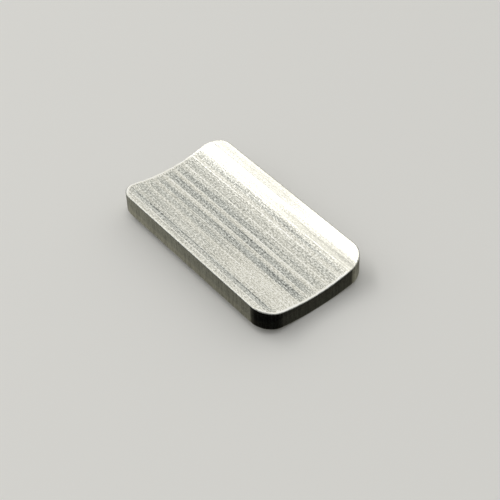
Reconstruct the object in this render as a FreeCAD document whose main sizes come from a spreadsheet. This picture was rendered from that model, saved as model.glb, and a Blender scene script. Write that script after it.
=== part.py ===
import FreeCAD, Part

import os

import Sketcher
from FreeCAD import Vector

# A small machined aluminium plate: a rounded rectangle with a dished top and a crowned underside.
#
# The plate is one solid. X runs across it, Y along it and Z up, and the origin is the lowest line of
# the underside, midway along. Its section is the same all along Y: a shallow arc below (the crown),
# a deeper arc above (the dish) and two upright sides. The dish is finished with a ball-nosed cutter
# that runs from end to end and steps sideways round the dish, so that each pass leaves a faint
# trough and a fine ridge stands between two passes.

NODE = "dished_plate"

SIZES = {
    "width": (12.0, "across the plate, along X"),
    "length": (22.0, "along the plate, along Y"),
    "corner_radius": (2.0, "radius of the four upright corners"),
    "centre_thickness": (1.75, "from the crown up to the ridges of the dish, on the centre line"),
    "dish_radius": (16.0, "radius of the dished top, on the tops of its ridges"),
    "crown_radius": (25.0, "radius of the crowned underside"),
    "cutter_radius": (8.0, "radius of the ball-nosed cutter that finishes the dish"),
    "pass_step": (1.15, "from one pass to the next, measured round the dish"),
    "pass_depth": (0.009, "how far each pass dips below the ridges beside it"),
    "pass_inset": (0.6, "from the right side to the middle of the first pass, round the dish"),
    "rim_round": (0.1, "radius that breaks the upper edge"),
    "base_round": (0.1, "radius that breaks the lower edge"),
}

# What follows from the sizes above, worked out by the document itself.
DISH_AXIS_HEIGHT = "Sizes.centre_thickness + Sizes.dish_radius"
DISH_HALF_ANGLE = "asin(Sizes.width / 2 / Sizes.dish_radius)"
DISH_ARC = f"2 * Sizes.dish_radius * {DISH_HALF_ANGLE} / 1 rad"
FIRST_PASS_ANGLE = f"{DISH_HALF_ANGLE} - Sizes.pass_inset / Sizes.dish_radius * 1 rad"
PASS_ANGLE = "Sizes.pass_step / Sizes.dish_radius * 1 rad"
CUTTER_SWING = "Sizes.dish_radius + Sizes.pass_depth - Sizes.cutter_radius"
ARC_TO_CUT = f"({DISH_ARC} - Sizes.pass_inset - Sizes.rim_round)"
# A pass cuts half a step to each side of its middle, so the last one may stop that far short.
PASS_COUNT = f"ceil({ARC_TO_CUT} / Sizes.pass_step - 1 / 2) + 1"

# The points of a sketch's pieces, its own origin and its upright axis, as Sketcher numbers them.
START, END, CENTRE = 1, 2, 3
ORIGIN = (-1, 1)
UPRIGHT = -2

# The most that two parallel directions of length 1 may differ by.
TOLERANCE = 1e-6


def make_sheet(doc):
    """The driving sizes, one to a row: the name, the number and what it measures."""
    sheet = doc.addObject("Spreadsheet::Sheet", "Sizes")
    for row, (name, (value, meaning)) in enumerate(SIZES.items(), start=1):
        sheet.set(f"A{row}", name)
        sheet.set(f"B{row}", str(value))
        sheet.set(f"C{row}", meaning)
        sheet.setAlias(f"B{row}", name)
    doc.recompute()
    return sheet


def new_sketch(body, name):
    """A sketch on the body's XZ plane: its own x is X, and its own y is Z."""
    plane = next(part for part in body.Origin.OriginFeatures if part.Role == "XZ_Plane")
    sketch = body.newObject("Sketcher::SketchObject", name)
    sketch.AttachmentSupport = [(plane, "")]
    sketch.MapMode = "FlatFace"
    return sketch


def add_size(sketch, name, expression, *constraint):
    """A dimension of the sketch, named and bound to the sheet."""
    index = sketch.addConstraint(Sketcher.Constraint(*constraint))
    sketch.renameConstraint(index, name)
    sketch.setExpression(f"Constraints.{name}", expression)


def draw_section(body, sizes):
    """The section across the plate: crown, right side, dish and left side, joined end to end."""
    sketch = new_sketch(body, "Section")
    half = sizes.width / 2
    crown_centre = Vector(0, sizes.crown_radius, 0)
    dish_centre = Vector(0, sizes.centre_thickness + sizes.dish_radius, 0)
    crown_end = Vector(half, crown_centre.y - (sizes.crown_radius**2 - half**2) ** 0.5, 0)
    dish_end = Vector(half, dish_centre.y - (sizes.dish_radius**2 - half**2) ** 0.5, 0)
    crown_start = Vector(-half, crown_end.y, 0)
    dish_start = Vector(-half, dish_end.y, 0)

    crown = sketch.addGeometry(Part.Arc(crown_start, Vector(0, 0, 0), crown_end))
    right = sketch.addGeometry(Part.LineSegment(crown_end, dish_end))
    dish_low = Vector(0, sizes.centre_thickness, 0)
    dish = sketch.addGeometry(Part.Arc(dish_start, dish_low, dish_end))
    left = sketch.addGeometry(Part.LineSegment(dish_start, crown_start))

    sketch.addConstraint(
        [
            Sketcher.Constraint("Coincident", crown, END, right, START),
            Sketcher.Constraint("Coincident", right, END, dish, END),
            Sketcher.Constraint("Coincident", dish, START, left, START),
            Sketcher.Constraint("Coincident", left, END, crown, START),
            Sketcher.Constraint("Vertical", right),
            Sketcher.Constraint("Vertical", left),
            Sketcher.Constraint("Symmetric", crown, START, crown, END, UPRIGHT),
            Sketcher.Constraint("PointOnObject", *ORIGIN, crown),
            Sketcher.Constraint("PointOnObject", dish, CENTRE, UPRIGHT),
        ]
    )
    add_size(sketch, "width", "Sizes.width", "DistanceX", crown, START, crown, END, sizes.width)
    add_size(sketch, "crown", "Sizes.crown_radius", "Radius", crown, sizes.crown_radius)
    add_size(sketch, "dish", "Sizes.dish_radius", "Radius", dish, sizes.dish_radius)
    add_size(sketch, "axis_height", DISH_AXIS_HEIGHT, "DistanceY", *ORIGIN, dish, CENTRE, dish_centre.y)
    return sketch


def extrude_section(body, section, sizes):
    """The section drawn out to the plate's length, half of it to each side."""
    plate = body.newObject("PartDesign::Pad", "Plate")
    plate.Profile = section
    plate.SideType = "Symmetric"
    plate.Length = sizes.length
    plate.setExpression("Length", "Sizes.length")
    return plate


def add_fillet(body, name, base, edges, radius_name):
    """One fillet on the named edges of the feature before it, with its radius from the sheet."""
    fillet = body.newObject("PartDesign::Fillet", name)
    fillet.Base = (base, edges)
    fillet.setExpression("Radius", f"Sizes.{radius_name}")
    fillet.Document.recompute()
    return fillet


def parallel(direction, axis):
    """Whether two directions of length 1 run the same way, or straight back."""
    return direction.cross(axis).Length < TOLERANCE


def upright_edges(shape):
    """The straight edges that run along Z: the corners of the plate."""
    names = []
    for number, edge in enumerate(shape.Edges, start=1):
        if isinstance(edge.Curve, Part.Line) and parallel(edge.Curve.Direction, Vector(0, 0, 1)):
            names.append(f"Edge{number}")
    return names


def edges_of_face(shape, face):
    """The names of the edges that bound one face of the shape."""
    names = []
    for number, edge in enumerate(shape.Edges, start=1):
        if any(edge.isSame(bounding) for bounding in face.Edges):
            names.append(f"Edge{number}")
    return names


def arched_face(shape, top):
    """The dish (top) or the crown: the highest or the lowest face that is bent round Y."""
    bent = []
    for face in shape.Faces:
        if isinstance(face.Surface, Part.Cylinder) and parallel(face.Surface.Axis, Vector(0, 1, 0)):
            bent.append(face)
    bent.sort(key=lambda face: face.CenterOfMass.z)
    return bent[-1] if top else bent[0]


def draw_first_pass(body, sizes):
    """The cutter's round nose at the first pass.

    The sketch's origin is the axis of the dish, and the sketch leans to the right about it, so the
    cutter hangs straight down in it.
    """
    sketch = new_sketch(body, "FirstPass")
    sketch.setExpression("AttachmentOffset.Base.y", DISH_AXIS_HEIGHT)
    sketch.setExpression("AttachmentOffset.Rotation.Angle", FIRST_PASS_ANGLE)

    swing = sizes.dish_radius + sizes.pass_depth - sizes.cutter_radius
    nose = sketch.addGeometry(Part.Circle(Vector(0, -swing, 0), Vector(0, 0, 1), sizes.cutter_radius))
    sketch.addConstraint(Sketcher.Constraint("PointOnObject", nose, CENTRE, UPRIGHT))
    add_size(sketch, "swing", CUTTER_SWING, "DistanceY", nose, CENTRE, *ORIGIN, swing)
    add_size(sketch, "nose", "Sizes.cutter_radius", "Radius", nose, sizes.cutter_radius)
    return sketch


def cut_passes(body, sketch):
    """The first pass, cut from end to end, and its copies stepped round the axis of the dish."""
    first = body.newObject("PartDesign::Pocket", "Pass")
    first.Profile = sketch
    first.Type = "ThroughAll"
    first.SideType = "Symmetric"
    body.Document.recompute()

    passes = body.newObject("PartDesign::PolarPattern", "Passes")
    passes.Originals = [first]
    passes.Axis = (sketch, ["N_Axis"])
    passes.Mode = "Spacing"
    passes.Reversed = True
    passes.setExpression("Offset", PASS_ANGLE)
    passes.setExpression("Occurrences", PASS_COUNT)
    body.Tip = passes
    body.Document.recompute()
    return first, passes


def check_document(doc, uncut, first, passes):
    """Stops the build if a feature failed or a cut took nothing away."""
    for item in doc.Objects:
        if "Invalid" in item.State or "Error" in item.State:
            raise RuntimeError(f"{item.Label} failed: {item.State}")
    volumes = [feature.Shape.Volume for feature in (uncut, first, passes)]
    if not volumes[0] > volumes[1] > volumes[2]:
        raise RuntimeError(f"a cut took nothing away: {volumes}")


def build():
    doc = FreeCAD.newDocument("DishedPlate")
    sizes = make_sheet(doc)
    body = doc.addObject("PartDesign::Body", "Body")
    body.Label = NODE

    plate = extrude_section(body, draw_section(body, sizes), sizes)
    doc.recompute()
    corners = add_fillet(body, "Corners", plate, upright_edges(plate.Shape), "corner_radius")
    dish_edges = edges_of_face(corners.Shape, arched_face(corners.Shape, top=True))
    rim = add_fillet(body, "Rim", corners, dish_edges, "rim_round")
    crown_edges = edges_of_face(rim.Shape, arched_face(rim.Shape, top=False))
    base = add_fillet(body, "Base", rim, crown_edges, "base_round")
    first, passes = cut_passes(body, draw_first_pass(body, sizes))

    doc.recompute()
    check_document(doc, base, first, passes)
    return body


def export(body):
    """Writes the solid to parts/, under the name of its node."""
    shape = body.Shape
    if shape.isNull() or not shape.isValid() or len(shape.Solids) != 1:
        raise RuntimeError(f"{body.Label} is not one valid solid")
    os.makedirs("parts", exist_ok=True)
    shape.exportStep(f"parts/{body.Label}.step")
    box = shape.optimalBoundingBox()
    print(f"{body.Label}: {box.XLength:.3f} x {box.YLength:.3f} x {box.ZLength:.3f} mm")
    print(f"{shape.Volume:.2f} cubic mm, {len(shape.Faces)} faces")


export(build())
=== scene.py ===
from math import pi, radians

import bpy
from mathutils import Matrix, Vector

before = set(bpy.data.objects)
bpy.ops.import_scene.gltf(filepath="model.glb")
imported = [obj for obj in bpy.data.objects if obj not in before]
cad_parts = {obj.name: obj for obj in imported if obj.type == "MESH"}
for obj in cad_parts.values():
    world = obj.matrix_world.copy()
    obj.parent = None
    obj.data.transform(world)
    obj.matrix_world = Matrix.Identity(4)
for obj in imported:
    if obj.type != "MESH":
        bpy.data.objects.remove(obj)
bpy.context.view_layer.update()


# ---- The plate -------------------------------------------------------------------------------
# One piece of bare aluminium. Its dish is finished by a ball-nosed cutter that runs from end to
# end, and its sides by the flank of an end mill that runs round it, so the dish is satin and
# lined along Y, and the sides are smoother, with faint upright marks.

class Field:
    """A value or colour that varies over a surface. Arithmetic on it adds Math nodes."""

    def __init__(self, tree, socket):
        self.tree = tree
        self.socket = socket

    def node(self, kind, settings=None, inputs=None, output=0):
        """Adds any other node: its settings first, then a value or a link for each input."""
        made = self.tree.nodes.new(kind)
        for name, value in (settings or {}).items():
            if name == "stops":
                ramp = made.color_ramp.elements
                while len(ramp) < len(value):
                    ramp.new(1.0)
                for stop, (position, colour) in zip(ramp, value):
                    stop.position = position
                    stop.color = colour
            else:
                setattr(made, name, value)
        for name, value in (inputs or {}).items():
            if isinstance(value, Field):
                self.tree.links.new(value.socket, made.inputs[name])
            else:
                made.inputs[name].default_value = value
        return Field(self.tree, made.outputs[output])

    def math(self, operation, *others, clamp=False):
        settings = {"operation": operation, "use_clamp": clamp}
        return self.node("ShaderNodeMath", settings, dict(enumerate((self, *others))))

    def scaled(self, factor):
        """A colour or direction, with its three numbers multiplied by a fourth."""
        inputs = {"Vector": self, "Scale": factor}
        return self.node("ShaderNodeVectorMath", {"operation": "SCALE"}, inputs)

    def parts(self):
        """The X, Y and Z of a place or direction."""
        return [self.node("ShaderNodeSeparateXYZ", None, {"Vector": self}, axis) for axis in "XYZ"]

    def rises(self, low, high):
        """From 0 at low to 1 at high, smoothly."""
        inputs = {"Value": self, "From Min": low, "From Max": high}
        return self.node("ShaderNodeMapRange", {"interpolation_type": "SMOOTHSTEP"}, inputs)

    def falls(self, low, high):
        """From 1 at low to 0 at high, smoothly."""
        return 1.0 - self.rises(low, high)

    def __abs__(self):
        return self.math("ABSOLUTE")

    def __add__(self, other):
        return self.math("ADD", other)

    def __sub__(self, other):
        return self.math("SUBTRACT", other)

    def __mul__(self, other):
        return self.math("MULTIPLY", other)

    def __truediv__(self, other):
        return self.math("DIVIDE", other)

    def __rsub__(self, other):
        return self * -1.0 + other

    __radd__ = __add__
    __rmul__ = __mul__


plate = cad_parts["dished_plate"]

# The plate's own sizes, and every length in its material, are in millimetres. The axis of the dish
# runs along Y above the plate, and the first pass lies so far round from the lowest line.
MM = 0.001
half_width = 6.0
half_length = 11.0
corner_radius = 2.0
dish_radius = 16.0
dish_axis_height = 17.75
pass_step = 1.15
first_pass = 5.549

milled = bpy.data.materials.new("milled aluminium")
milled.use_nodes = True
tree = milled.node_tree
shader = tree.nodes["Principled BSDF"]
coordinates = tree.nodes.new("ShaderNodeTexCoord")
place = Field(tree, coordinates.outputs["Object"]).scaled(1.0 / MM)
across, along, height = place.parts()
sideways, _, upward = Field(tree, coordinates.outputs["Normal"]).parts()

# Round the dish: how far from its lowest line, and how far through a pass, from one ridge (0) to
# the next (1), left to right.
arc = across.math("ARCTAN2", dish_axis_height - height) * dish_radius
through = ((arc - first_pass) / pass_step + 0.5).math("FRACT")
lengthwise = place.node("ShaderNodeCombineXYZ", inputs={"X": arc, "Y": along})

# The dish is the part that faces its own axis. The rest is the sides, the rim and the underside.
towards_axis = (upward * (dish_axis_height - height) - sideways * across) / dish_radius
on_dish = towards_axis.rises(0.95, 0.985)


def by_part(dish, sides):
    """One field on the dish, and another on the rest."""
    return sides + (dish - sides) * on_dish


def marks(surface, width, length, depth=1.0, detail=2.0, roughness=0.5):
    """Uneven marks, 0 to 1: so wide across, so long along, and so deep down the plate."""
    scale = (1.0 / width, 1.0 / length, 1.0 / depth)
    laid = surface.node("ShaderNodeMapping", inputs={"Vector": surface, "Scale": scale})
    settings = {"Scale": 1.0, "Detail": detail, "Roughness": roughness}
    return laid.node("ShaderNodeTexNoise", inputs={"Vector": laid, **settings})


# A thin line just inside the rim is painted bright, a painted highlight where the rim catches the
# light. The outline is straight but for its corners.
past_x = abs(across) - (half_width - corner_radius)
past_y = abs(along) - (half_length - corner_radius)
beyond_x = past_x.math("MAXIMUM", 0.0).math("POWER", 2.0)
beyond_y = past_y.math("MAXIMUM", 0.0).math("POWER", 2.0)
round_corner = (beyond_x + beyond_y).math("SQRT")
inward = corner_radius - round_corner - past_x.math("MAXIMUM", past_y).math("MINIMUM", 0.0)
rim_highlight = inward.falls(0.15, 0.36)

# Places on the dish: round its bottom, where the ball's tip pointed straight down and rubbed; the
# very bottom; the last passes on the left; the right half; both ends; and both long edges.
rubbed = abs(arc + 0.9).falls(0.81, 2.7)
bottom = abs(arc + 0.3).falls(0.32, 1.6)
left_passes = arc.falls(-4.5, -4.1)
right_half = arc.rises(0.9, 1.6)
ends = abs(along).rises(9.2, 10.8)
edges = abs(arc).rises(5.1, 5.6)

# The last two passes on the right are painted smooth and bright, a painted highlight of the key
# panel, all but the near end of the inner one. The outer one is painted dim, as painted shade, but
# for its near end. Left of the bottom, the near end is lighter, partly polish and partly painted
# reflection.
far_right = arc.rises(3.5, 3.9)
past_near_end = along.rises(-6.5, 1.0)
highlight_passes = arc.rises(3.7, 3.9) * past_near_end.math("MAXIMUM", arc.rises(4.45, 5.1))
painted_shade_pass = arc.rises(4.85, 5.05) * past_near_end
polish_and_sheen = along.falls(-5.0, 2.0) * abs(arc + 3.1).falls(0.7, 1.6)

# Each pass is darker on its left, partly duller where the cutter climbed and partly painted shade,
# and dullest in a broken streak along its middle, where the ball's tip only rubbed. On the right of
# the dish it begins with a painted highlight on its shoulder, and at the bottom it ends brighter.
# The numbers are shares of the tone.
left_side = through.falls(0.50, 0.66)
right_side = through.rises(0.55, 0.95)
dull_and_shaded_left = left_side * (0.04 + rubbed * 0.115 + left_passes * 0.05) - right_side * bottom * 0.17
tip_line = through.rises(0.40, 0.50) - through.rises(0.52, 0.64)
broken = marks(lengthwise, pass_step, 6.0, detail=1.0).rises(0.35, 0.6)
streak = tip_line * (broken * (0.05 + bottom * 0.12) + left_passes * 0.2)
shoulder_highlight = through.falls(0.2, 0.45) * arc.rises(2.4, 2.7)

# A fine ridge divides the passes, and a bright line is painted along it, a painted highlight
# where the ridge catches the light, sharper in some places than in others.
sharp = marks(lengthwise, pass_step, 1.0, detail=3.0).rises(0.36, 0.62)
ridge_line = through.rises(0.91, 0.98) + through.falls(0.0, 0.06)
ridge_highlight = ridge_line * (0.25 + sharp * 0.8 + left_passes * 0.7 + right_half * 0.7)

# Over all of it lie long bright hairlines, long pale and dark patches, fine lines, and a grain that
# has more bright specks than dark ones.
hairlines = marks(lengthwise, 0.22, 14.0, detail=1.0).rises(0.6, 0.7)
patches = marks(lengthwise, 1.3, 18.0, detail=1.0) - 0.5
lines = marks(lengthwise, 0.12, 5.0, detail=2.0, roughness=0.6) - 0.5
specks = marks(lengthwise, 0.12, 0.25, detail=4.0, roughness=0.8)
grain = specks.math("MAXIMUM", 0.455) - 0.508

# The tone of the dish, without its fine marks and then of these alone.
dish_tone = 0.685
marks_left = (1.0 - ends * 0.8) * (1.0 - highlight_passes) * (1.0 - polish_and_sheen * 0.6)
# The cutter's marks, with the painted shade on the left of each pass.
marks_and_shade = (dull_and_shaded_left + streak) * marks_left
# Painted highlights on the ridges and the shoulders, with the hairlines.
lines_and_highlights = ridge_highlight * 0.23 + hairlines * 0.12 + shoulder_highlight * 0.2
# Painted highlights on the rim line and the long edges, and the lighter near end, partly polish and
# partly painted reflection.
painted_sheen_and_polish = polish_and_sheen * 0.15 + edges * 0.03 + rim_highlight * 0.45 * (1.0 - far_right)
# The painted highlight band on the two right passes, and a little darker elsewhere on the far
# right.
painted_highlight_band = far_right * (highlight_passes * 0.2 - 0.1)
dish_broad = (
    dish_tone + lines_and_highlights + painted_sheen_and_polish + painted_highlight_band + patches * 0.32 - marks_and_shade
)
dish_fine = (lines * 0.75 + grain * 4.6) * (1.0 - rim_highlight * 0.6) * (1.0 - far_right * 0.65)

# The sides are painted brighter on their lower part, as a painted reflection.
side_tone = 0.6
painted_lower_sheen = height.falls(1.35, 1.75)
side_lines = marks(place, 0.2, 0.2, 3.0, detail=3.0, roughness=0.7) - 0.5
side_grain = marks(place, 0.16, 0.16, 0.2, detail=2.0, roughness=0.7) - 0.5
side_broad = side_tone + painted_lower_sheen * 0.14
side_fine = side_lines * 0.9 + side_grain * 0.7

# The colour: the tone, with a painted tint of the light it reflects, a little cooler where it is
# dull and warmer where it is bright, warmest on the band on the right and the dim pass, and a
# random hue.
broad = by_part(dish_broad, side_broad)
# The outer pass on the right is painted darker, as painted shade.
tone = (broad + by_part(dish_fine, side_fine)) * (1.0 - painted_shade_pass * 0.37 * on_dish)
hue = marks(lengthwise, 0.45, 1.4, detail=1.0) - 0.5
hue_and_reflected_warmth = broad + hue * 0.06 + far_right * 0.18 + painted_shade_pass * 0.1
tint_stops = [(0.48, (0.964, 1.0, 0.972, 1.0)), (0.76, (0.99, 0.982, 0.905, 1.0))]
tint = hue_and_reflected_warmth.node("ShaderNodeValToRGB", {"stops": tint_stops}, {"Fac": hue_and_reflected_warmth}, "Color")
colour = tint.scaled(tone)

# The relief, in millimetres: the crests of the ridges and the fine marks.
crest = through.rises(0.90, 1.0) + through.falls(0.0, 0.1)
dish_relief = crest * sharp * 0.003 + lines * 0.008 + grain * 0.01
relief = by_part(dish_relief, side_lines * 0.004)
bump = relief.node("ShaderNodeBump", inputs={"Height": relief, "Distance": MM})

# The gloss: satin on the dish, dullest in its streaks, and a little duller on the rim.
rim = upward.rises(0.05, 0.3) * (1.0 - on_dish)
roughness = 0.28 + rim * 0.15 + (0.02 + streak * 0.3) * on_dish

shader.inputs["Metallic"].default_value = 1.0
tree.links.new(colour.socket, shader.inputs["Base Color"])
tree.links.new(roughness.socket, shader.inputs["Roughness"])
tree.links.new(bump.socket, shader.inputs["Normal"])
plate.data.materials.clear()
plate.data.materials.append(milled)


# ---- The floor -------------------------------------------------------------------------------
# A sheet of pale paper under the plate. It belongs to the scene and isn't a piece of the object.
# The plate doesn't mirror it: its sides mirror the studio's table instead.

floor_size = 1.2
bpy.ops.object.select_all(action="DESELECT")
bpy.ops.mesh.primitive_plane_add(size=floor_size, location=(0.0, 0.0, 0.0))
floor = bpy.context.object
floor.name = "floor"
paper = bpy.data.materials.new("pale paper")
paper.use_nodes = True
paper_shader = paper.node_tree.nodes["Principled BSDF"]
paper_shader.inputs["Base Color"].default_value = (0.84, 0.84, 0.83, 1.0)
paper_shader.inputs["Roughness"].default_value = 0.9
floor.data.materials.append(paper)
floor.visible_glossy = False


# ---- The studio ------------------------------------------------------------------------------
# What the plate mirrors: a table, dark in front and pale beyond the plate, and over it a plain room
# that is brighter at the back, and brightest just over the table. X is east, and Y is north. The
# backdrop itself is plain and pale.

world = bpy.data.worlds.new("studio")
bpy.context.scene.world = world
world.use_nodes = True
sky = world.node_tree
direction = Field(sky, sky.nodes.new("ShaderNodeTexCoord").outputs["Generated"])
east, north, rise = direction.parts()
north_east = (east + north) * 0.7071
back = east * 0.6 + north * 0.8


def blend(factor, under, over):
    """One colour over another. A colour's Mix node takes them at 6 and 7, and gives output 2."""
    inputs = {"Factor": factor, 6: under, 7: over}
    return factor.node("ShaderNodeMix", {"data_type": "RGBA"}, inputs, 2)


table_stops = [
    (0.0, (0.0, 0.0, 0.0, 1.0)),
    (0.44, (0.002, 0.002, 0.001, 1.0)),
    (0.52, (0.01, 0.009, 0.006, 1.0)),
    (0.585, (0.37, 0.36, 0.29, 1.0)),
    (0.8, (0.19, 0.185, 0.16, 1.0)),
]
room_stops = [
    (0.0, (0.42, 0.42, 0.41, 1.0)),
    (0.5, (0.45, 0.45, 0.44, 1.0)),
    (0.72, (0.85, 0.84, 0.79, 1.0)),
]
bright_strip = (1.7, 1.68, 1.62, 1.0)
backdrop = (0.72, 0.715, 0.69, 1.0)

table_place = north_east * 0.5 + 0.5
table = direction.node("ShaderNodeValToRGB", {"stops": table_stops}, {"Fac": table_place}, "Color")
table = table.scaled(1.0 - (east - north).rises(0.1, 0.8) * 0.3)
room_place = back * 0.5 + 0.5
room = direction.node("ShaderNodeValToRGB", {"stops": room_stops}, {"Fac": room_place}, "Color")
over_table = (rise.rises(0.0, 0.05) - rise.rises(0.07, 0.16)) * back.rises(0.6, 0.9)
room = blend(over_table, room, bright_strip)
above = (rise * 12.0).math("ADD", 0.5, clamp=True)
eye = direction.node("ShaderNodeLightPath", output="Is Camera Ray")
seen = blend(eye, blend(above, table, room), backdrop)
sky.links.new(seen.socket, sky.nodes["Background"].inputs["Color"])


# ---- The lights ------------------------------------------------------------------------------
# Two soft panels side by side, a narrow bright one and then a wide dim one, face the plate from
# half a metre away. They start just past the plane in which the dish's reflection breaks off.

edge_normal = Vector((0.704, -0.609, 0.366)).normalized()
edge_middle = Vector((-0.02, 0.56, 0.828)).normalized()
across_panel = -edge_normal
along_panel = edge_normal.cross(edge_middle).normalized()
outward = across_panel.cross(along_panel)
panel_turn = Matrix((across_panel, along_panel, outward)).transposed().to_4x4()
panel_away = 0.5
panel_length = 0.56
panel_slide = 0.16
panel_colour = (1.0, 0.98, 0.95)
panel_start = 0.025
for name, width, radiance in (("key", 0.08, 3.7), ("fill", 0.36, 0.5)):
    panel_middle = edge_middle * panel_away + along_panel * panel_slide
    panel_middle += across_panel * (panel_start + width / 2)
    panel = bpy.data.lights.new(name, "AREA")
    panel.shape = "RECTANGLE"
    panel.size = width
    panel.size_y = panel_length
    panel.energy = radiance * pi * width * panel_length
    panel.color = panel_colour
    lamp = bpy.data.objects.new(name, panel)
    bpy.context.collection.objects.link(lamp)
    lamp.matrix_world = Matrix.Translation(panel_middle) @ panel_turn
    panel_start += width
bpy.context.scene.view_settings.view_transform = "Standard"


# ---- The camera ------------------------------------------------------------------------------
# A long lens, from the front left and about 45 degrees up. Its place is given by its own axes, from
# the plate's origin: so far to the right, up and back.

camera_bearing = -36.887
camera_elevation = 44.95
camera_roll = -2.571
camera_place = Vector((0.865, -0.737, 136.536)) * MM
camera_turn = (
    Matrix.Rotation(radians(camera_bearing), 3, "Z")
    @ Matrix.Rotation(radians(90.0 - camera_elevation), 3, "X")
    @ Matrix.Rotation(radians(camera_roll), 3, "Z")
)
camera_data = bpy.data.cameras.new("camera")
camera_data.sensor_width = 36.0
camera_data.lens = 105.76
camera = bpy.data.objects.new("camera", camera_data)
bpy.context.collection.objects.link(camera)
camera.location = camera_turn @ camera_place
camera.rotation_euler = camera_turn.to_euler()
bpy.context.scene.camera = camera
